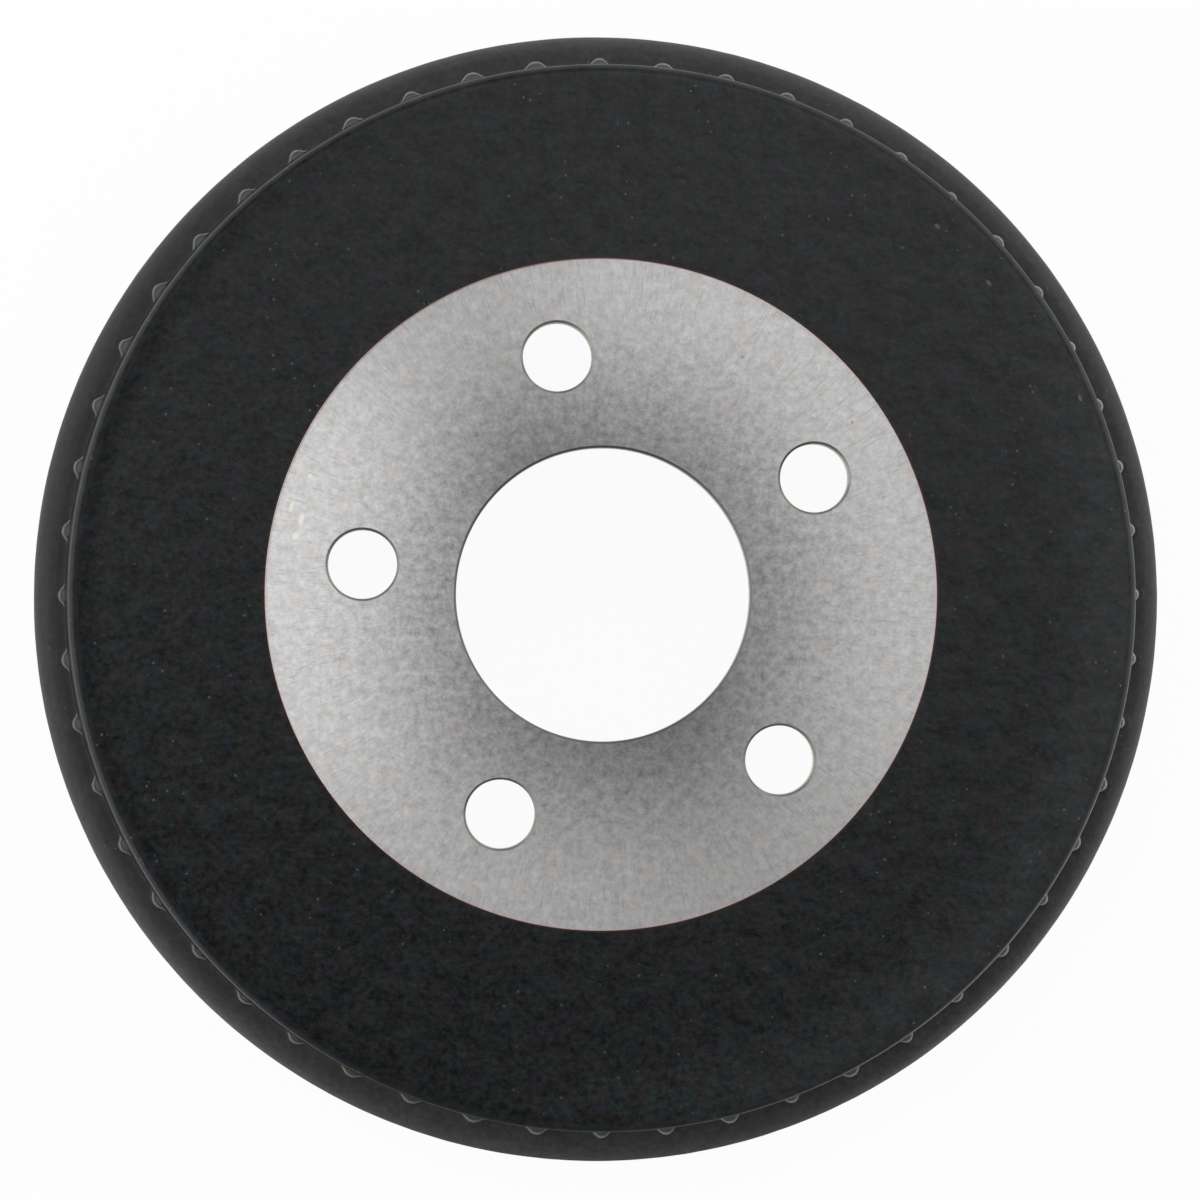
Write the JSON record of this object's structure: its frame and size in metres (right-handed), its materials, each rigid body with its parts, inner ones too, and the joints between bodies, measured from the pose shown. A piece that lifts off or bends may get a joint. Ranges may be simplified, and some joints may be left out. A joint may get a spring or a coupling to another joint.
{
  "type": "brake drum",
  "caption": "Composite automotive brake drum: a pressed steel web with turned mounting face, pilot bore and lug holes, its fluted rim cast into a grey iron braking ring.",
  "frame": {"origin": "on the drum's axis, in the plane of its open rim, on which it stands", "axes": "+Z along the axis from the open rim to the mounting face; +X through a flute of the web's rim"},
  "size_m": [0.278, 0.278, 0.072],
  "materials": {
    "painted_steel": "thin black paint on the pressed steel web, with its mounting face, bore and hole walls turned to bare bright steel",
    "painted_iron": "rough black-painted grey iron outside, with a fine-bored bare friction face inside"
  },
  "bodies": {
    "root": {"steel_web": "painted_steel", "iron_ring": "painted_iron"}
  },
  "joints": []
}
